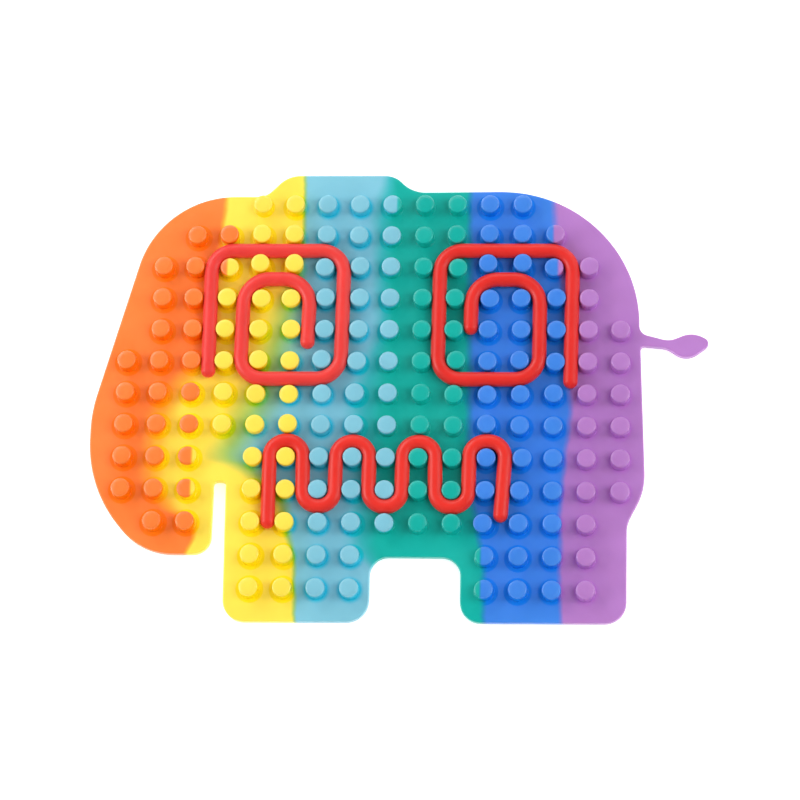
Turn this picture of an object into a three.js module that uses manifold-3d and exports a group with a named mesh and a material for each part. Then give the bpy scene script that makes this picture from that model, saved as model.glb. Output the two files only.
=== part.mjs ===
// A soft stud board in the shape of an elephant, and three soft noodles that press into the
// channels between its studs. Millimetres, +Z up. The board lies on its flat back, its studs
// point up, and the elephant faces -X with its back towards +Y. The origin is the centre of
// the board's outline, on the surface that it lies on.
import * as THREE from "three";
import { mergeVertices } from "three/addons/utils/BufferGeometryUtils.js";
import Module from "manifold-3d";

// Driving dimensions.
const pitch = 12; // from one stud to the next, along X and along Y
const studDiameter = 7;
const studHeight = 5; // above the sheet
const sheetThickness = 3;
const noodleClearance = 0.2; // from a noodle to the studs beside it and to the sheet below it

// Fineness of the facets.
const studSides = 12;
const arcFlatness = 0.15; // how far a flat may cut inside the arc that it stands for
const noodleSides = 10;
const noodleSteps = 80;

// What fits the channels takes its size from them.
const noodleDiameter = pitch - studDiameter - 2 * noodleClearance;
const noodleHeight = sheetThickness + noodleClearance + noodleDiameter / 2;

// The layout is drawn on the stud grid: column 1 is the trunk's foremost, row 1 the highest,
// and half numbers are the middles of the channels.
const onGrid = (column, row) => new THREE.Vector2(column * pitch, -row * pitch);

// Each row of studs, as runs of columns. The fourth column stops where the trunk parts from
// the front leg, and the lowest rows stand on the two legs.
const studRows = [
  [[5, 13]],
  [[3, 14]],
  [[2, 15]],
  [[2, 15]],
  [[2, 16]],
  [[1, 16]],
  [[1, 16]],
  [[1, 16]],
  [[1, 3], [5, 16]],
  [[1, 3], [5, 16]],
  [[2, 3], [5, 15]],
  [[5, 8], [12, 15]],
  [[5, 8], [12, 15]],
];

// The elephant's outline, clockwise: corners as [column, row, radius of the rounding].
const outline = [
  [1.77, 0.63, 3.0], // forehead
  [5.03, 0.63, 0.65],
  [5.71, -0.06, 0.9], // raised crown
  [9.02, -0.06, 0.7],
  [9.57, 0.49, 1.0],
  [16.56, 0.43, 4.25], // back
  [16.57, 5.0, 0.3], // tail
  [17.48, 5.24, 0.6],
  [18.15, 4.95, 0.7],
  [18.8, 5.27, 0.17],
  [18.0, 5.87, 0.55],
  [17.4, 5.46, 0.5],
  [16.6, 5.38, 0.12],
  [16.75, 9.85, 2.0], // rump
  [16.21, 10.9, 1.0],
  [16.21, 13.91, 0.65], // hind leg
  [11.29, 13.94, 0.62],
  [11.28, 11.98, 0.55], // belly
  [8.58, 11.98, 0.55],
  [8.58, 13.95, 0.68], // front leg
  [4.21, 13.98, 0.65],
  [4.15, 9.72, 0.1], // slit behind the trunk
  [3.78, 9.71, 0.1],
  [3.77, 11.94, 0.55], // trunk
  [1.67, 11.95, 2.1],
  [-0.07, 9.92, 4.1],
  [-0.07, 7.56, 4.4],
];

// The seams between the colours, from below the feet to above the crown.
const low = 15;
const high = -1;
const seams = [
  [[-1, low], [-1, high]],
  [[3.96, low], [3.96, 8.5], [3.5, 8.5], [3.5, 2.5], [4.5, 2.5], [4.5, high]],
  [[6.5, low], [6.5, high]],
  [[9.5, low], [9.5, high]],
  [[11.5, low], [11.5, high]],
  [[14.5, low], [14.5, high]],
  [[20, low], [20, high]],
];
const colours = {
  board_orange: 0xfa7d46,
  board_yellow: 0xfde048,
  board_light_blue: 0x74bcd6,
  board_green: 0x1fac98,
  board_blue: 0x3f7ae6,
  board_purple: 0xb277c6,
};
const noodleColour = 0xe8433c;

// Where each noodle runs: the crossings of channels at which it turns, and its two ends.
const noodles = {
  noodle_left_eye: [
    [3.5, 6.52], [3.5, 2.5], [7.5, 2.5], [7.5, 6.5], [4.5, 6.5], [4.5, 3.5], [6.5, 3.5], [6.5, 5.6],
  ],
  noodle_right_eye: [
    [14.5, 6.81], [14.5, 2.5], [10.5, 2.5], [10.5, 6.5], [13.5, 6.5], [13.5, 3.5], [11.5, 3.5],
    [11.5, 5.13],
  ],
  noodle_mouth: [
    [5.5, 11.2], [5.5, 8.5], [6.5, 8.5], [6.5, 10.5], [7.5, 10.5], [7.5, 8.5], [8.5, 8.5],
    [8.5, 10.5], [9.5, 10.5], [9.5, 8.5], [10.5, 8.5], [10.5, 10.5], [11.5, 10.5], [11.5, 8.5],
    [12.5, 8.5], [12.5, 10.95],
  ],
};

const wasm = await Module();
wasm.setup();

// A geometry as a manifold-3d solid, with its shared vertices merged.
function solidOf(geometry) {
  const bare = new THREE.BufferGeometry();
  bare.setAttribute("position", geometry.getAttribute("position"));
  bare.setIndex(geometry.index);
  const merged = mergeVertices(bare, 1e-3);
  return new wasm.Manifold(
    new wasm.Mesh({
      numProp: 3,
      vertProperties: merged.attributes.position.array,
      triVerts: new Uint32Array(merged.index.array),
    }),
  );
}

// A manifold-3d solid as a geometry with flat faces.
function geometryOf(solid) {
  const mesh = solid.getMesh();
  const geometry = new THREE.BufferGeometry();
  geometry.setAttribute("position", new THREE.BufferAttribute(mesh.vertProperties, mesh.numProp));
  geometry.setIndex(new THREE.BufferAttribute(mesh.triVerts, 1));
  const flat = geometry.toNonIndexed();
  flat.computeVertexNormals();
  return flat;
}

// One rounded corner: where the sides from a to b and from b to c are cut short, and the arc
// between, which touches both sides.
function cornerArc(a, b, c, radius) {
  const back = a.clone().sub(b);
  const on = c.clone().sub(b);
  const half = Math.acos(back.dot(on) / (back.length() * on.length())) / 2;
  const cut = radius / Math.tan(half);
  const start = back.clone().setLength(cut).add(b);
  const end = on.clone().setLength(cut).add(b);
  const middle = back.setLength(1).add(on.setLength(1));
  const centre = middle.setLength(radius / Math.sin(half)).add(b);
  return { start, end, centre, turn: Math.PI - 2 * half };
}

// The points of a closed outline whose corners are rounded by arcs.
function roundedPoints(corners) {
  const at = corners.map(([column, row]) => onGrid(column, row));
  return corners.flatMap(([, , share], i) => {
    const radius = share * pitch;
    const arc = cornerArc(at.at(i - 1), at[i], at[(i + 1) % at.length], radius);
    const steps = Math.ceil(arc.turn / (2 * Math.acos(1 - arcFlatness / radius)));
    const from = arc.start.clone().sub(arc.centre);
    const side = Math.sign(from.cross(arc.end.clone().sub(arc.centre)));
    return Array.from({ length: steps + 1 }, (_, k) =>
      arc.start.clone().rotateAround(arc.centre, (side * arc.turn * k) / steps),
    );
  });
}

function prism(points, bottom, top) {
  const shapes = points.map((loop) => new THREE.Shape(loop));
  const geometry = new THREE.ExtrudeGeometry(shapes, { depth: top - bottom, bevelEnabled: false });
  return geometry.translate(0, 0, bottom);
}

// The part of the sheet between two seams.
function sheetBetween(sheet, left, right) {
  const region = [...left, ...right.toReversed()].map(([column, row]) => onGrid(column, row));
  return sheet.intersect(solidOf(prism([region], -sheetThickness, 2 * sheetThickness)));
}

// Where a seam runs at a row.
function seamColumn(seam, row) {
  const step = seam.findIndex(([, r], i) => i > 0 && r <= row);
  return seam[step][0];
}

// The studs between two seams, each rooted halfway down the sheet.
function studsBetween(left, right) {
  const circles = [];
  studRows.forEach((runs, i) => {
    const row = i + 1;
    for (const [first, last] of runs)
      for (let column = first; column <= last; column++)
        if (column > seamColumn(left, row) && column < seamColumn(right, row)) {
          const centre = onGrid(column, row);
          circles.push(
            Array.from({ length: studSides }, (_, k) =>
              new THREE.Vector2(studDiameter / 2, 0)
                .rotateAround(new THREE.Vector2(), (2 * Math.PI * (k + 0.5)) / studSides)
                .add(centre),
            ),
          );
        }
  });
  return solidOf(prism(circles, sheetThickness / 2, sheetThickness + studHeight));
}

// The line that a noodle's centre follows: straight in the channels, and round a stud's side
// at each turn.
function noodlePath(turns) {
  const at = turns.map(([column, row]) => onGrid(column, row));
  const path = new THREE.CurvePath();
  const raised = (p) => new THREE.Vector3(p.x, p.y, noodleHeight);
  let from = at[0];
  for (let i = 1; i < at.length - 1; i++) {
    const { start, end, centre, turn } = cornerArc(at[i - 1], at[i], at[i + 1], pitch / 2);
    if (start.distanceTo(from) > arcFlatness) path.add(new THREE.LineCurve3(raised(from), raised(start)));
    // A cubic curve whose handles are this long follows a circle's arc.
    const handle = ((4 / 3) * Math.tan(turn / 4) * pitch) / 2;
    const leave = at[i].clone().sub(start).setLength(handle).add(start);
    const arrive = at[i].clone().sub(end).setLength(handle).add(end);
    path.add(new THREE.CubicBezierCurve3(raised(start), raised(leave), raised(arrive), raised(end)));
    from = end;
  }
  path.add(new THREE.LineCurve3(raised(from), raised(at.at(-1))));
  return path;
}

function noodle(turns) {
  const section = new THREE.Shape(
    Array.from({ length: noodleSides }, (_, k) =>
      new THREE.Vector2(noodleDiameter / 2, 0).rotateAround(
        new THREE.Vector2(),
        (2 * Math.PI * k) / noodleSides,
      ),
    ),
  );
  const options = { steps: noodleSteps, extrudePath: noodlePath(turns), bevelEnabled: false };
  return new THREE.ExtrudeGeometry(section, options);
}

// A mesh of soft silicone.
function part(name, geometry, color) {
  const material = new THREE.MeshStandardMaterial({ color, roughness: 0.55, metalness: 0 });
  const mesh = new THREE.Mesh(geometry, material);
  mesh.name = name;
  return mesh;
}

const edge = roundedPoints(outline);
const sheet = solidOf(prism([edge], 0, sheetThickness));
const group = new THREE.Group();
Object.entries(colours).forEach(([name, colour], i) => {
  const solid = sheetBetween(sheet, seams[i], seams[i + 1]).add(studsBetween(seams[i], seams[i + 1]));
  group.add(part(name, geometryOf(solid), colour));
});
for (const [name, turns] of Object.entries(noodles)) group.add(part(name, noodle(turns), noodleColour));

const middle = new THREE.Box2().setFromPoints(edge).getCenter(new THREE.Vector2());
group.position.set(-middle.x, -middle.y, 0);

export default group;
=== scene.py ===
import bpy
import numpy as np
from mathutils.geometry import delaunay_2d_cdt
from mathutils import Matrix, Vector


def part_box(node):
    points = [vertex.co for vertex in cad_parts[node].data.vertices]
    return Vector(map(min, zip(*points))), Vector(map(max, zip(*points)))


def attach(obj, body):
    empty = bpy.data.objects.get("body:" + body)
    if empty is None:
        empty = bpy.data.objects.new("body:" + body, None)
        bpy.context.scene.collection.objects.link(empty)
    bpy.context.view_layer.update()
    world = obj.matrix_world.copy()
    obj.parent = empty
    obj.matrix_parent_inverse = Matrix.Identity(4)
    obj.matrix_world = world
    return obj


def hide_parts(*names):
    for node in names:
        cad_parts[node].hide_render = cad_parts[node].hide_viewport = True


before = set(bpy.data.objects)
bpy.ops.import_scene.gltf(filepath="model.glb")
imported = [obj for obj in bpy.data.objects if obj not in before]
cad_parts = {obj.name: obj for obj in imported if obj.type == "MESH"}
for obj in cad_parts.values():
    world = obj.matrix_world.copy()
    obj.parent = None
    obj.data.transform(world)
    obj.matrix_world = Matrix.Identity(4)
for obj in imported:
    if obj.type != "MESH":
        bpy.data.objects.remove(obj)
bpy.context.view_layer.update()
scene = bpy.context.scene
mm = 0.001


# ---------------------------------------------------------------------------------- Camera
# It stands over the elephant's feet and looks down at the board, leaning 15 degrees from the
# vertical, through a long lens.
camera = bpy.data.objects.new("camera", bpy.data.cameras.new("camera"))
camera.data.sensor_width = 36
camera.data.lens = 123.3
camera.data.clip_start = 0.05
camera.data.clip_end = 20
camera.location = (0.0774, -0.2606, 0.9605)
camera.rotation_euler = np.radians((15.17, 4.18, 1.45))
scene.collection.objects.link(camera)
scene.camera = camera


# --------------------------------------------------------------------------------- Noodles
# Solid round strands of limp red silicone, 5.3 mm thick and 250 mm long, with rounded ends.
# They are extruded and cured, and here each lies pressed down between the studs.
noodle_radius = 2.65 * mm
noodle_low, noodle_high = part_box("noodle_mouth")
noodle_rise = 0.05 * mm
noodle_level = (noodle_low.z + noodle_high.z) / 2 + noodle_rise
noodle_sides = 32
noodle_step = 0.7 * mm
tip_rings = 7

# The light blue part of the board reaches from column 6.5 to 9.5 of the stud grid, and up to
# the crown's straight edge, a little above row 0.
seam_low, seam_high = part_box("board_light_blue")
pitch = (seam_high.x - seam_low.x) / 3
crown_row = -0.06

# Each noodle's turns as [column, row, radius of the bend in mm], from one tip to the other.
noodle_turns = {
    "left_eye": [
        [3.5, 6.52, 0], [3.47, 2.47, 8.4], [7.56, 2.47, 8.6], [7.54, 6.54, 9.0], [4.48, 6.55, 8.2],
        [4.5, 3.38, 9.8], [6.54, 3.38, 9.8], [6.5, 5.6, 0],
    ],
    "right_eye": [
        [14.5, 6.81, 0], [14.55, 2.46, 8.4], [10.5, 2.46, 8.4], [10.49, 6.54, 8.2],
        [13.55, 6.53, 8.8], [13.56, 3.38, 9.6], [11.48, 3.38, 9.8], [11.47, 5.13, 0],
    ],
    "mouth": [
        [5.49, 11.2, 0], [5.48, 8.47, 5.9], [6.48, 8.5, 5.9], [6.52, 10.5, 5.7], [7.48, 10.5, 5.8],
        [7.49, 8.5, 6], [8.5, 8.5, 6], [8.49, 10.5, 6], [9.49, 10.5, 5.9], [9.5, 8.5, 5.8],
        [10.47, 8.5, 5.8], [10.5, 10.5, 5.9], [11.49, 10.5, 5.9], [11.5, 8.46, 6], [12.6, 8.48, 6],
        [12.45, 10.95, 0],
    ],
}
noodle_glow = 0.5
noodle_polish = 0.45
noodle_reds = {"left_eye": (226, 66, 62), "right_eye": (217, 48, 42), "mouth": (222, 52, 43)}


def on_grid(columns, rows):
    """Columns and rows of the stud grid as x and y: one pitch to the right for each column,
    and one pitch down for each row."""
    x = seam_low.x + (np.asarray(columns) - 6.5) * pitch
    y = seam_high.y - (np.asarray(rows) - crown_row) * pitch
    return np.stack(np.broadcast_arrays(x, y), axis=-1)


def rounded_line(turns, closed, step):
    """A line through corners that are rounded by arcs. An arc touches both its sides, so it
    starts radius x tan(turn / 2) before the corner, and its points lie at the radius from a
    centre to the inside of the bend. Gives points about a step apart, and the way on at each."""
    corners = on_grid(*np.transpose(turns)[:2])
    radii = np.transpose(turns)[2] * mm
    way_out = np.roll(corners, -1, axis=0) - corners
    way_out /= np.linalg.norm(way_out, axis=1, keepdims=True)
    way_in = np.roll(way_out, 1, axis=0)
    if not closed:
        way_in[0] = way_out[0]
        way_out[-1] = way_in[-1]
    cross = way_in[:, 0] * way_out[:, 1] - way_in[:, 1] * way_out[:, 0]
    bends = np.arctan2(cross, np.sum(way_in * way_out, axis=1))
    cuts = (radii * np.tan(np.abs(bends) / 2))[:, None]
    starts = corners - way_in * cuts
    ends = corners + way_out * cuts
    points, ways = [], []
    for i, (bend, radius) in enumerate(zip(bends, radii)):
        angles = np.linspace(0, bend, int(np.ceil(abs(bend) * radius / step)) + 1)
        heading = np.arctan2(way_in[i, 1], way_in[i, 0]) + angles
        way = np.stack([np.cos(heading), np.sin(heading)], axis=1)
        inside = np.sign(bend) * radius * np.stack([-way[:, 1], way[:, 0]], axis=1)
        points.append(starts[i] + inside[0] - inside)
        ways.append(way)
        if closed or i < len(corners) - 1:
            to = starts[(i + 1) % len(corners)]
            count = int(np.ceil(np.linalg.norm(to - ends[i]) / step))
            share = np.linspace(0, 1, max(count, 1), endpoint=False)[1:, None]
            points.append(ends[i] + (to - ends[i]) * share)
            ways.append(np.repeat(way_out[i : i + 1], len(share), axis=0))
    points, ways = np.concatenate(points), np.concatenate(ways)
    apart = np.linalg.norm(points - np.roll(points, 1, axis=0), axis=1) > step / 100
    return points[apart], ways[apart]


def noodle_rings(line, ways):
    """Circles carried along a level line, with a half ball at each end. At a distance s from
    a tip the radius is r x sin(a), where s = r x (1 - cos a), until a is a right angle. Gives
    the centres and the rings' points and normals, tip to tip."""
    along = np.concatenate([[0], np.cumsum(np.linalg.norm(np.diff(line, axis=0), axis=1))])
    swing = np.linspace(0, np.pi / 2, tip_rings + 1)
    tip = noodle_radius * (1 - np.cos(swing))
    count = int((along[-1] - 2 * noodle_radius) / noodle_step)
    body = np.linspace(noodle_radius, along[-1] - noodle_radius, count)[1:-1]
    places = np.concatenate([tip, body, along[-1] - tip[::-1]])
    swings = np.concatenate([swing - np.pi / 2, np.zeros(len(body)), np.pi / 2 - swing[::-1]])
    centres = np.stack([np.interp(places, along, line[:, k]) for k in (0, 1)], axis=1)
    way = np.stack([np.interp(places, along, ways[:, k]) for k in (0, 1)], axis=1)
    way /= np.linalg.norm(way, axis=1, keepdims=True)
    angles = np.linspace(0, 2 * np.pi, noodle_sides, endpoint=False)
    level = np.stack([-way[:, 1], way[:, 0], np.zeros(len(way))], axis=1)[:, None]
    spokes = np.cos(angles)[:, None] * level + np.sin(angles)[:, None] * np.array([0, 0, 1])
    forwards = np.column_stack([way, np.zeros(len(way))])[:, None]
    lean = swings[:, None, None]
    normals = np.cos(lean) * spokes + np.sin(lean) * forwards
    middle = np.column_stack([centres, np.full(len(centres), noodle_level)])
    return middle, middle[:, None] + noodle_radius * np.cos(lean) * spokes, normals


def quads(rings):
    """Four-cornered faces between each ring of vertex numbers and the next. They face away
    from the middle where the rings run anticlockwise, seen from the last ring."""
    near, far = rings[..., :-1, :], rings[..., 1:, :]
    corners = [near, np.roll(near, -1, axis=-1), np.roll(far, -1, axis=-1), far]
    return np.stack(corners, axis=-1).reshape(-1, 4)


def fan(ring, pole):
    """Triangles between a ring of vertex numbers and one vertex."""
    return np.stack([ring, np.roll(ring, -1, axis=-1), np.broadcast_to(pole, ring.shape)], axis=-1)


def add_piece(name, points, normals, faces, material):
    """A smooth mesh whose shading follows the true normals of the surface."""
    mesh = bpy.data.meshes.new(name)
    mesh.from_pydata(points.tolist(), [], faces)
    mesh.shade_smooth()
    mesh.normals_split_custom_set_from_vertices(normals.tolist())
    mesh.materials.append(material)
    piece = bpy.data.objects.new(name, mesh)
    scene.collection.objects.link(piece)
    return piece


def linear(red, green, blue):
    """A colour from 0 to 255 as the linear light that materials take."""
    share = np.array([red, green, blue]) / 255
    return (*np.where(share > 0.04045, ((share + 0.055) / 1.055) ** 2.4, share / 12.92), 1)


def set_input(tree, node, name, value):
    """Sets a shader node's input to a value, or joins it to another node's socket."""
    if isinstance(value, bpy.types.NodeSocket):
        tree.links.new(value, node.inputs[name])
    else:
        node.inputs[name].default_value = value


def add_node(tree, kind, inputs=(), **settings):
    """A shader node with its settings, and each input set to a value or joined to a socket."""
    node = tree.nodes.new(kind)
    for name, value in settings.items():
        setattr(node, name, value)
    for name, value in dict(inputs).items():
        set_input(tree, node, name, value)
    return node


patch_scale = 90.0
grain_scale = 1900.0


def silicone_skin():
    """The surface that cured silicone has, as a node group: colour that is a little uneven,
    gloss that changes in patches, and a fine grain left by the mould."""
    tree = bpy.data.node_groups.new("silicone skin", "ShaderNodeTree")
    face = tree.interface
    for name, kind in (("Place", "Vector"), ("Colour", "Color")):
        face.new_socket(name, in_out="INPUT", socket_type="NodeSocket" + kind)
    for name, kind in (("Colour", "Color"), ("Roughness", "Float"), ("Height", "Float")):
        face.new_socket(name, in_out="OUTPUT", socket_type="NodeSocket" + kind)
    given = tree.nodes.new("NodeGroupInput").outputs
    tree.nodes.new("NodeGroupOutput")
    patches, grain = [
        add_node(tree, "ShaderNodeTexNoise", {"Vector": given["Place"], "Scale": scale, "Detail": 3.0})
        for scale in (patch_scale, grain_scale)
    ]
    spread = {"Value": patches.outputs["Fac"], "From Min": 0.3, "From Max": 0.7}
    shade = add_node(tree, "ShaderNodeMapRange", {**spread, "To Min": 0.965, "To Max": 1.03})
    gloss = add_node(tree, "ShaderNodeMapRange", {**spread, "To Min": 0.31, "To Max": 0.41})
    uneven = add_node(tree, "ShaderNodeHueSaturation", {
        "Color": given["Colour"],
        "Value": shade.outputs["Result"],
    })
    set_input(tree, tree.nodes["Group Output"], "Colour", uneven.outputs["Color"])
    set_input(tree, tree.nodes["Group Output"], "Roughness", gloss.outputs["Result"])
    set_input(tree, tree.nodes["Group Output"], "Height", grain.outputs["Fac"])
    return tree


skin = silicone_skin()


def silicone(name, colour, glow, polish):
    """Cured silicone: light sinks in and spreads a little, and the surface is satin. The
    colour is a fixed one, or a function that adds it to the node tree for each place. Glow is
    how much of the light sinks in, and polish how much of it the surface sends back."""
    material = bpy.data.materials.new(name)
    material.use_nodes = True
    tree = material.node_tree
    tree.nodes.clear()
    at = add_node(tree, "ShaderNodeTexCoord").outputs["Object"]
    tint = colour(tree, at) if callable(colour) else colour
    surface = add_node(tree, "ShaderNodeGroup", node_tree=skin)
    set_input(tree, surface, "Place", at)
    set_input(tree, surface, "Colour", tint)
    bump = add_node(tree, "ShaderNodeBump", {
        "Height": surface.outputs["Height"],
        "Strength": 0.25,
        "Distance": 0.05 * mm,
    })
    shader = add_node(tree, "ShaderNodeBsdfPrincipled", {
        "Base Color": surface.outputs["Colour"],
        "Roughness": surface.outputs["Roughness"],
        "Normal": bump.outputs["Normal"],
        "IOR": 1.41,
        "Specular IOR Level": polish,
        "Subsurface Weight": glow,
        "Subsurface Radius": (1.0, 0.7, 0.6),
        "Subsurface Scale": 2 * mm,
    })
    add_node(tree, "ShaderNodeOutputMaterial", {"Surface": shader.outputs["BSDF"]})
    return material


noodle_lines = []
for name, turns in noodle_turns.items():
    line, ways = rounded_line(turns, False, noodle_step)
    centres, rings, normals = noodle_rings(line, ways)
    noodle_lines.append(line)
    between = np.arange(1, len(rings) - 1)
    numbers = np.arange(len(between) * noodle_sides).reshape(len(between), noodle_sides)
    tips = [numbers.size, numbers.size + 1]
    points = np.concatenate([rings[between].reshape(-1, 3), centres[[0, -1]]])
    outwards = np.concatenate([normals[between].reshape(-1, 3), normals[[0, -1], 0]])
    faces = [*quads(numbers).tolist(), *fan(numbers[0][::-1], tips[0]).tolist(),
             *fan(numbers[-1], tips[1]).tolist()]
    red = linear(*noodle_reds[name])
    label = "red silicone, " + name.replace("_", " ")
    material = silicone(label, red, noodle_glow, noodle_polish)
    noodle = add_piece(name + "_noodle", points, outwards, faces, material)
    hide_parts("noodle_" + name)
    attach(noodle, name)


# ----------------------------------------------------------------------------------- Board
# One moulding of soft silicone: a flat sheet with short round studs on it. Six colours are
# poured side by side into the mould, studs first, and cured together, so they run into each
# other along the seams. It lies on its flat back.
stud_radius = 3.5 * mm
stud_draft = 0.05 * mm
stud_rim = 0.7 * mm
stud_crown = 6.2 * mm
crown_slope = 75
stud_fillet = 0.3 * mm
stud_give = 1.2
pocket_reach = 1.7 * mm
pocket_least = 0.36 * mm
pocket_margin = 0.3 * mm
# Share of the painted bounce light that the top of each stud's wall carries.
wall_bounce_share = 0.7
stud_sides = 20
sheet_top = 3 * mm
stud_top = seam_high.z
edge_rounding = 0.55 * mm
back_rounding = 0.25 * mm
edge_step = 1.2 * mm

# Each row of studs, as runs of columns.
stud_rows = [
    [[5, 13]],
    [[3, 14]],
    [[2, 15]],
    [[2, 15]],
    [[2, 16]],
    [[1, 16]],
    [[1, 16]],
    [[1, 16]],
    [[1, 3], [5, 16]],
    [[1, 3], [5, 16]],
    [[2, 3], [5, 15]],
    [[5, 8], [12, 15]],
    [[5, 8], [12, 15]],
]

# The elephant's outline, clockwise: corners as [column, row, radius of the rounding in pitches].
outline = [
    [1.77, 0.63, 3.0],  # forehead
    [5.03, 0.63, 0.65],
    [5.71, -0.06, 0.9],  # raised crown
    [9.02, -0.06, 0.7],
    [9.57, 0.49, 1.0],
    [16.56, 0.43, 4.25],  # back
    [16.57, 5.0, 0.3],  # tail
    [17.48, 5.24, 0.6],
    [18.15, 4.95, 0.7],
    [18.8, 5.27, 0.17],
    [18.0, 5.87, 0.55],
    [17.4, 5.46, 0.5],
    [16.6, 5.38, 0.12],
    [16.75, 9.85, 2.0],  # rump
    [16.21, 10.9, 1.0],
    [16.21, 13.91, 0.65],  # hind leg
    [11.29, 13.94, 0.62],
    [11.28, 11.98, 0.55],  # belly
    [8.58, 11.98, 0.55],
    [8.58, 13.95, 0.68],  # front leg
    [4.21, 13.98, 0.65],
    [4.15, 9.72, 0.1],  # slit behind the trunk
    [3.78, 9.71, 0.1],
    [3.77, 11.94, 0.55],  # trunk
    [1.67, 11.95, 2.1],
    [-0.07, 9.92, 4.1],
    [-0.07, 7.56, 4.4],
]

# The colours, and what each turns into where it runs into the next.
pours = {
    "orange": (248, 130, 56),
    "yellow": (252, 225, 80),
    "light blue": (128, 194, 213),
    "green": (4, 174, 161),
    "blue": (62, 132, 224),
    "purple": (178, 122, 193),
}
# Painted shade: how much darker the studs' tops are painted than the sheet.
stud_top_painted_shade = 0.06
# Painted bounce light in the crease round each stud: the colour there is made more saturated, by the
# first share and by the second on the purple, and lighter by the lift.
crease_painted_saturation = (0.45, 0.12)
crease_painted_lift = 1.03
board_glow = 0.25
board_polish = 1.0
waver_scale = 75.0
waver_reach = 0.3
mixtures = [(250, 172, 52), (152, 194, 100), (58, 182, 188), (30, 142, 184), (112, 124, 210)]

# Where each colour ends on the sheet, as [row, column, width of the blend].
sheet_seams = [
    [[0, 3.84, 0.12], [2, 3.71, 0.2], [4, 3.58, 0.35], [5, 3.6, 0.4], [5.7, 3.4, 0.6],
     [6.4, 2.85, 1.0], [7.4, 2.2, 1.1], [8.4, 1.93, 1.0], [9.4, 1.9, 1.0], [10.5, 2.45, 0.9],
     [11.1, 3.28, 0.25], [11.4, 3.26, 0.12], [12, 3.0, 0.1]],
    [[0, 6.26, 0.12], [2, 6.26, 0.15], [3, 6.2, 0.4], [4, 5.9, 1.2], [5, 5.7, 1.6],
     [6.4, 5.35, 2.0], [7.4, 4.95, 2.1], [8.4, 4.45, 1.8], [8.9, 4.2, 1.9], [9.25, 4.75, 1.6],
     [9.5, 5.1, 1.2], [10.3, 5.82, 0.75], [11.3, 6.07, 0.35], [12.1, 6.28, 0.15],
     [14, 6.37, 0.1]],
    [[0, 8.9, 0.5], [1.4, 8.65, 0.9], [3.4, 8.7, 0.6], [4.5, 8.75, 0.6], [6, 8.5, 0.9],
     [7.4, 8.2, 1.4], [9.4, 8.3, 1.3], [10.5, 8.3, 1.1], [11.5, 8.25, 1.1], [12, 8.5, 0.7],
     [12.4, 8.75, 0.3], [14, 8.9, 0.2]],
    [[0, 11.36, 0.2], [4, 11.42, 0.25], [10, 11.53, 0.25], [11, 11.76, 0.25],
     [12, 11.92, 0.2], [14, 12.04, 0.15]],
    [[0, 13.97, 0.15], [2, 14.02, 0.2], [3, 14.15, 0.2], [5, 14.35, 0.15], [7, 14.46, 0.15],
     [8, 14.46, 0.15], [9, 14.33, 0.15], [11, 14.2, 0.15], [14, 14.26, 0.1]],
]

# Where each colour ends among the studs: the usual column, and the rows that differ.
stud_seams = [
    [3.5, {1: 4.5, 2: 4.4, 3: 3.97, 9: 3.13, 10: 3.13}],
    [6.5, {}],
    [9.5, {1: 9.15}],
    [11.5, {12: 11.9, 13: 11.9}],
    [14.5, {1: 13.5, 2: 13.95, 3: 14.09}],
]


def flat_face(loop, holes):
    """Triangles that fill a level loop of points, except inside the rings of points that are
    its holes. Gives numbers into the loop's points followed by the holes' points."""
    flat = np.concatenate([loop, holes.reshape(-1, 2)]) / mm
    rings = len(loop) + np.arange(holes.shape[0] * holes.shape[1]).reshape(holes.shape[:2])
    borders = [np.arange(len(loop))[::-1].tolist(), *rings.tolist()]
    _, _, faces, sources, _, owners = delaunay_2d_cdt(flat.tolist(), [], borders, 1, 1e-5)
    return [
        [sources[corner][0] for corner in face]
        for face, owner in zip(faces, owners)
        if list(owner) == [0]
    ]


def quarter(out, height, radius, first, last, steps):
    """A quarter circle as [distance out, height, slope of the surface's normal]: the centre
    plus the radius along the normal. In a fillet the normal points to the centre, so the
    radius is negative."""
    slopes = np.radians(np.linspace(first, last, steps + 1))
    return np.stack([out + radius * np.cos(slopes), height + radius * np.sin(slopes), slopes], axis=1)


def carried_round(base, outwards, profile):
    """A profile carried round closed lines of points: each place is the base plus the
    profile's distance along outwards, at the profile's height. The normal is outwards x
    cos(slope) + up x sin(slope)."""
    out, height, slope = profile.T[:, :, None, None]
    level = base[..., None, :, :] + out * outwards
    points = np.concatenate([level, np.broadcast_to(height, (*level.shape[:-1], 1))], axis=-1)
    normals = np.concatenate(
        [np.cos(slope) * outwards, np.broadcast_to(np.sin(slope), (len(out), len(outwards), 1))],
        axis=-1,
    )
    return points, np.broadcast_to(normals, points.shape)


def leaning(studs, line):
    """How far each stud's top is pushed over where a noodle presses on it: straight away from
    the noodle's nearest point, by the stud's give times what the two overlap."""
    apart = studs[:, None] - line[None]
    distance = np.linalg.norm(apart, axis=2)
    nearest = np.argmin(distance, axis=1)
    each = np.arange(len(studs))
    away = apart[each, nearest] / distance[each, nearest, None]
    overlap = stud_radius + noodle_radius - distance[each, nearest, None]
    return away * stud_give * np.clip(overlap, 0, None)


edge_turns = [[column, row, share * pitch / mm] for column, row, share in outline]
edge, edge_ways = rounded_line(edge_turns, True, edge_step)
edge_profile = np.concatenate([
    quarter(-back_rounding, back_rounding, back_rounding, -90, 0, 3),
    quarter(-edge_rounding, sheet_top - edge_rounding, edge_rounding, 0, 90, 5),
])
edge_outwards = np.stack([-edge_ways[:, 1], edge_ways[:, 0]], axis=1)
edge_points, edge_normals = carried_round(edge, edge_outwards, edge_profile)

studs = np.concatenate([
    on_grid(np.arange(first, last + 1), row)
    for row, runs in enumerate(stud_rows, 1)
    for first, last in runs
])
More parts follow.
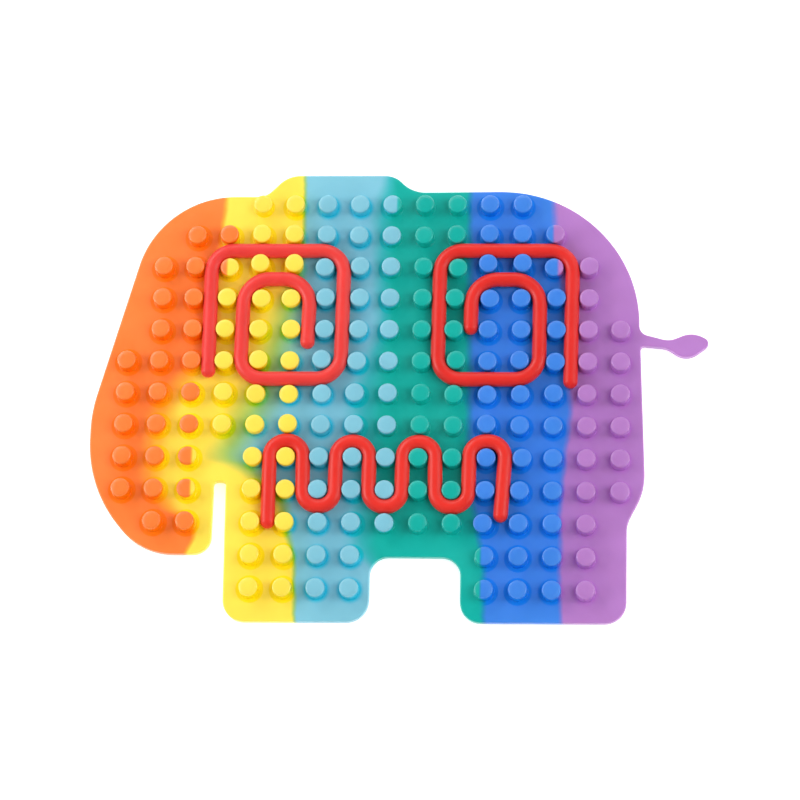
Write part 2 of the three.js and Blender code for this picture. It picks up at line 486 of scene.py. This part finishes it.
# The top is a little crowned: a small round at the rim that goes on as a much wider one.
rim_centre = stud_radius - stud_draft - stud_rim
crown_angle = np.radians(crown_slope)
crown_give = (stud_crown - stud_rim) * np.array([np.cos(crown_angle), np.sin(crown_angle)])
stud_profile = np.concatenate([
    [[stud_radius + pocket_reach, sheet_top, np.pi / 2]],
    quarter(stud_radius + stud_fillet, sheet_top + stud_fillet, -stud_fillet, 90, 0, 2),
    quarter(rim_centre, stud_top - stud_crown + crown_give[1], stud_rim, 0, crown_slope, 3),
    quarter(rim_centre - crown_give[0], stud_top - stud_crown, stud_crown, crown_slope, 90, 1)[1:],
])
stud_angles = np.linspace(0, 2 * np.pi, stud_sides, endpoint=False)
stud_spokes = np.stack([np.cos(stud_angles), np.sin(stud_angles)], axis=1)
stud_points, stud_normals = carried_round(studs[:, None], stud_spokes, stud_profile)
# The lowest ring lies on the sheet, a little way out, but never past the board's rounded edge. The
# painted bounce light fades out at it.
to_edge = np.linalg.norm(studs[:, None] - edge[None], axis=2).min(axis=1)
room_left = to_edge - edge_rounding - stud_radius - pocket_margin
reach = np.clip(room_left, pocket_least, pocket_reach)[:, None, None]
stud_points[:, 0, :, :2] = studs[:, None] + stud_spokes * (stud_radius + reach)
leans = leaning(studs, np.concatenate(noodle_lines))
rise = (stud_profile[:, 1] - sheet_top) / (stud_top - sheet_top)
stud_points[..., :2] += leans[:, None, None] * rise[:, None, None]
caps = np.column_stack([studs + leans, np.full(len(studs), stud_top)])

edge_numbers = np.arange(edge_points[..., 0].size).reshape(edge_points.shape[:-1])
stud_numbers = edge_numbers.size + np.arange(stud_points[..., 0].size).reshape(stud_points.shape[:-1])
cap_numbers = edge_numbers.size + stud_numbers.size + np.arange(len(caps))
sheet_numbers = np.concatenate([edge_numbers[-1], stud_numbers[:, 0].ravel()])
sheet_faces = sheet_numbers[flat_face(edge_points[-1, :, :2], stud_points[:, 0, :, :2])]
board_points = np.concatenate([edge_points.reshape(-1, 3), stud_points.reshape(-1, 3), caps])
board_normals = np.concatenate(
    [edge_normals.reshape(-1, 3), stud_normals.reshape(-1, 3), np.tile([0, 0, 1], (len(caps), 1))]
)
# Each ring's share of the painted bounce light, a more saturated and lighter colour painted in the
# crease round
#  a stud: full on the fillet's three rings, less at the wall's top, and none out on the sheet or on
#      the stud's top.
ring_bounce_shares = np.zeros(len(stud_profile))
ring_bounce_shares[1:4] = 1
ring_bounce_shares[4] = wall_bounce_share
stud_bounce_shares = np.broadcast_to(ring_bounce_shares[:, None], stud_numbers.shape)
bounce_shares = [*np.zeros(edge_numbers.size), *stud_bounce_shares.ravel(), *np.zeros(len(caps))]
board_faces = [
    *quads(edge_numbers)[:, ::-1].tolist(),
    *quads(stud_numbers).tolist(),
    *fan(stud_numbers[:, -1], cap_numbers[:, None]).reshape(-1, 3).tolist(),
    *sheet_faces.tolist(),
    edge_numbers[0].tolist(),
]


def arithmetic(tree, operation, *values):
    """The result of a sum on values and sockets."""
    return add_node(tree, "ShaderNodeMath", dict(enumerate(values)), operation=operation).outputs[0]


def ramp(tree, value, start, end, low=0.0, high=1.0):
    """A smooth step from low to high as the value goes from start to end."""
    given = {"Value": value, "From Min": start, "From Max": end, "To Min": low, "To Max": high}
    node = add_node(tree, "ShaderNodeMapRange", given, interpolation_type="SMOOTHSTEP")
    return node.outputs["Result"]


def mixed(tree, share, first, second):
    """A colour between two others."""
    node = add_node(tree, "ShaderNodeMix", {0: share, 6: first, 7: second}, data_type="RGBA")
    return node.outputs[2]


def by_row(tree, row, values, handles):
    """A value that is given at some rows and joined between them. The curve's own axes
    run from 0 to 1, so they stand for up to 15 rows and 20 columns."""
    node = add_node(tree, "ShaderNodeFloatCurve", {"Value": arithmetic(tree, "DIVIDE", row, 15.0)})
    points = node.mapping.curves[0].points
    for k, (place, value) in enumerate(values):
        if k < 2:
            points[k].location = (place / 15, value / 20)
        else:
            points.new(place / 15, value / 20)
    for point in points:
        point.handle_type = handles
    node.mapping.update()
    return arithmetic(tree, "MULTIPLY", node.outputs[0], 20.0)


def pour_colour(tree, at):
    """The colour at a place on the board. It steps from each pour to the next at a seam, whose
    column is one curve over the rows on the sheet, where it also wavers, and another among the
    studs. The studs' tops get painted shade, and the creases round them painted bounce light."""
    x, y, z = add_node(tree, "ShaderNodeSeparateXYZ", {0: at}).outputs
    column = arithmetic(tree, "MULTIPLY_ADD", x, 1 / pitch, 6.5 - seam_low.x / pitch)
    row = arithmetic(tree, "MULTIPLY_ADD", y, -1 / pitch, crown_row + seam_high.y / pitch)
    stud_row = arithmetic(tree, "ROUND", row)
    on_stud = ramp(tree, z, sheet_top + 1.5 * mm, sheet_top + 4 * mm)
    on_sheet = arithmetic(tree, "SUBTRACT", 1.0, on_stud)
    waver = add_node(tree, "ShaderNodeTexNoise", {"Vector": at, "Scale": waver_scale, "Detail": 3.0})
    drift = arithmetic(tree, "MULTIPLY_ADD", waver.outputs["Fac"], waver_reach, -waver_reach / 2)
    wavy = arithmetic(tree, "MULTIPLY_ADD", drift, on_sheet, column)
    names = list(pours)
    colour = linear(*pours[names[0]])
    for k, (on_rows, (usual, others)) in enumerate(zip(sheet_seams, stud_seams)):
        sheet_seam = by_row(tree, row, [[r, c] for r, c, _ in on_rows], "AUTO_CLAMPED")
        sheet_width = by_row(tree, row, [[r, w] for r, _, w in on_rows], "AUTO_CLAMPED")
        all_rows = [[r, others.get(r, usual)] for r in range(len(stud_rows) + 1)]
        stud_seam = by_row(tree, stud_row, all_rows, "VECTOR")
        shift = arithmetic(tree, "SUBTRACT", stud_seam, sheet_seam)
        seam = arithmetic(tree, "MULTIPLY_ADD", shift, on_stud, sheet_seam)
        width = arithmetic(tree, "MULTIPLY_ADD", sheet_width, on_sheet, 0.1)
        past = arithmetic(tree, "DIVIDE", arithmetic(tree, "SUBTRACT", wavy, seam), width)
        colour = mixed(tree, ramp(tree, past, -0.5, 0.1), colour, linear(*mixtures[k]))
        colour = mixed(tree, ramp(tree, past, -0.1, 0.5), colour, linear(*pours[names[k + 1]]))
    # Painted shade: up on the studs the colour is mixed a little towards black, darkening their tops.
    shaded = mixed(tree, arithmetic(tree, "MULTIPLY", on_stud, stud_top_painted_shade), colour, (0, 0, 0, 1))
    # Painted bounce light: round each stud's foot the colour is made more saturated and a little
    # lighter.
    painted_bounce = add_node(tree, "ShaderNodeAttribute", attribute_name="painted_bounce").outputs["Fac"]
    # The painted bounce light saturates the purple less than the other colours.
    bounce_saturation = ramp(tree, column, 12.5, 13.8, *crease_painted_saturation)
    bounce_tinted = add_node(tree, "ShaderNodeHueSaturation", {
        "Color": shaded,
        "Saturation": arithmetic(tree, "MULTIPLY_ADD", painted_bounce, bounce_saturation, 1.0),
        "Value": ramp(tree, painted_bounce, 0.0, 1.0, 1.0, crease_painted_lift),
    })
    return bounce_tinted.outputs["Color"]


board_material = silicone("rainbow silicone", pour_colour, board_glow, board_polish)
board = add_piece("stud_board", board_points, board_normals, board_faces, board_material)
# Each point carries its share of the painted bounce light.
board.data.attributes.new("painted_bounce", "FLOAT", "POINT").data.foreach_set("value", bounce_shares)
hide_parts("board_orange", "board_yellow", "board_light_blue",
            "board_green", "board_blue", "board_purple")
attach(board, "board")


# ------------------------------------------------------------------------- Floor and light
# A plain white table in a white room, with low soft boxes all round it that are strongest on
# the left and behind, so the studs' near sides are the darkest, and one high on the right. The
# table glows a little, as one lit from below does, so no shadow is left on it.
floor_half = 0.9
floor_grey = 0.93
floor_glow = 0.45
floor_mesh = bpy.data.meshes.new("floor")
floor_corners = [(x * floor_half, y * floor_half, 0) for x, y in ((-1, -1), (1, -1), (1, 1), (-1, 1))]
floor_mesh.from_pydata(floor_corners, [], [(0, 1, 2, 3)])
floor_paint = bpy.data.materials.new("white table")
floor_paint.use_nodes = True
table = floor_paint.node_tree.nodes["Principled BSDF"].inputs
table["Base Color"].default_value = (floor_grey, floor_grey, floor_grey, 1)
table["Roughness"].default_value = 0.9
table["Specular IOR Level"].default_value = 0.2
table["Emission Color"].default_value = (1, 1, 1, 1)
table["Emission Strength"].default_value = floor_glow
floor_mesh.materials.append(floor_paint)
floor = bpy.data.objects.new("floor", floor_mesh)
scene.collection.objects.link(floor)

# The room looks white to the camera, but gives the object hardly any light.
room_light = 0.06
room = bpy.data.worlds.new("white room")
room.use_nodes = True
seen = add_node(room.node_tree, "ShaderNodeLightPath").outputs["Is Camera Ray"]
walls = room.node_tree.nodes["Background"]
walls.inputs["Color"].default_value = (1, 1, 1, 1)
strength = arithmetic(room.node_tree, "MULTIPLY_ADD", seen, 1 - room_light, room_light)
set_input(room.node_tree, walls, "Strength", strength)
scene.world = room

# Each soft box as its direction from +X towards +Y and its rise, in degrees, and its watts.
box_width = 0.5
box_distance = 1.0
soft_boxes = {
    "left": (180, 30, 4.8),
    "back left": (135, 30, 3.8),
    "back": (90, 30, 2.0),
    "back right": (45, 30, 1.4),
    "right": (0, 30, 2.9),
    "front right": (315, 30, 1.6),
    "front": (270, 30, 1.9),
    "front left": (225, 30, 1.2),
    "high right": (0, 60, 3.4),
}
# The boxes that may show as a shine on the silicone.
mirrored = ("left", "back left", "back", "back right", "right")
for side, (round_angle, rise_angle, power) in soft_boxes.items():
    light = bpy.data.lights.new("soft box " + side, "AREA")
    light.size = box_width
    light.energy = power
    around, up = np.radians((round_angle, rise_angle))
    lamp = bpy.data.objects.new("soft box " + side, light)
    lamp.location = box_distance * np.array(
        [np.cos(around) * np.cos(up), np.sin(around) * np.cos(up), np.sin(up)]
    )
    lamp.rotation_euler = (-lamp.location).to_track_quat("-Z", "Y").to_euler()
    lamp.visible_glossy = side in mirrored
    scene.collection.objects.link(lamp)
scene.view_settings.view_transform = "Standard"
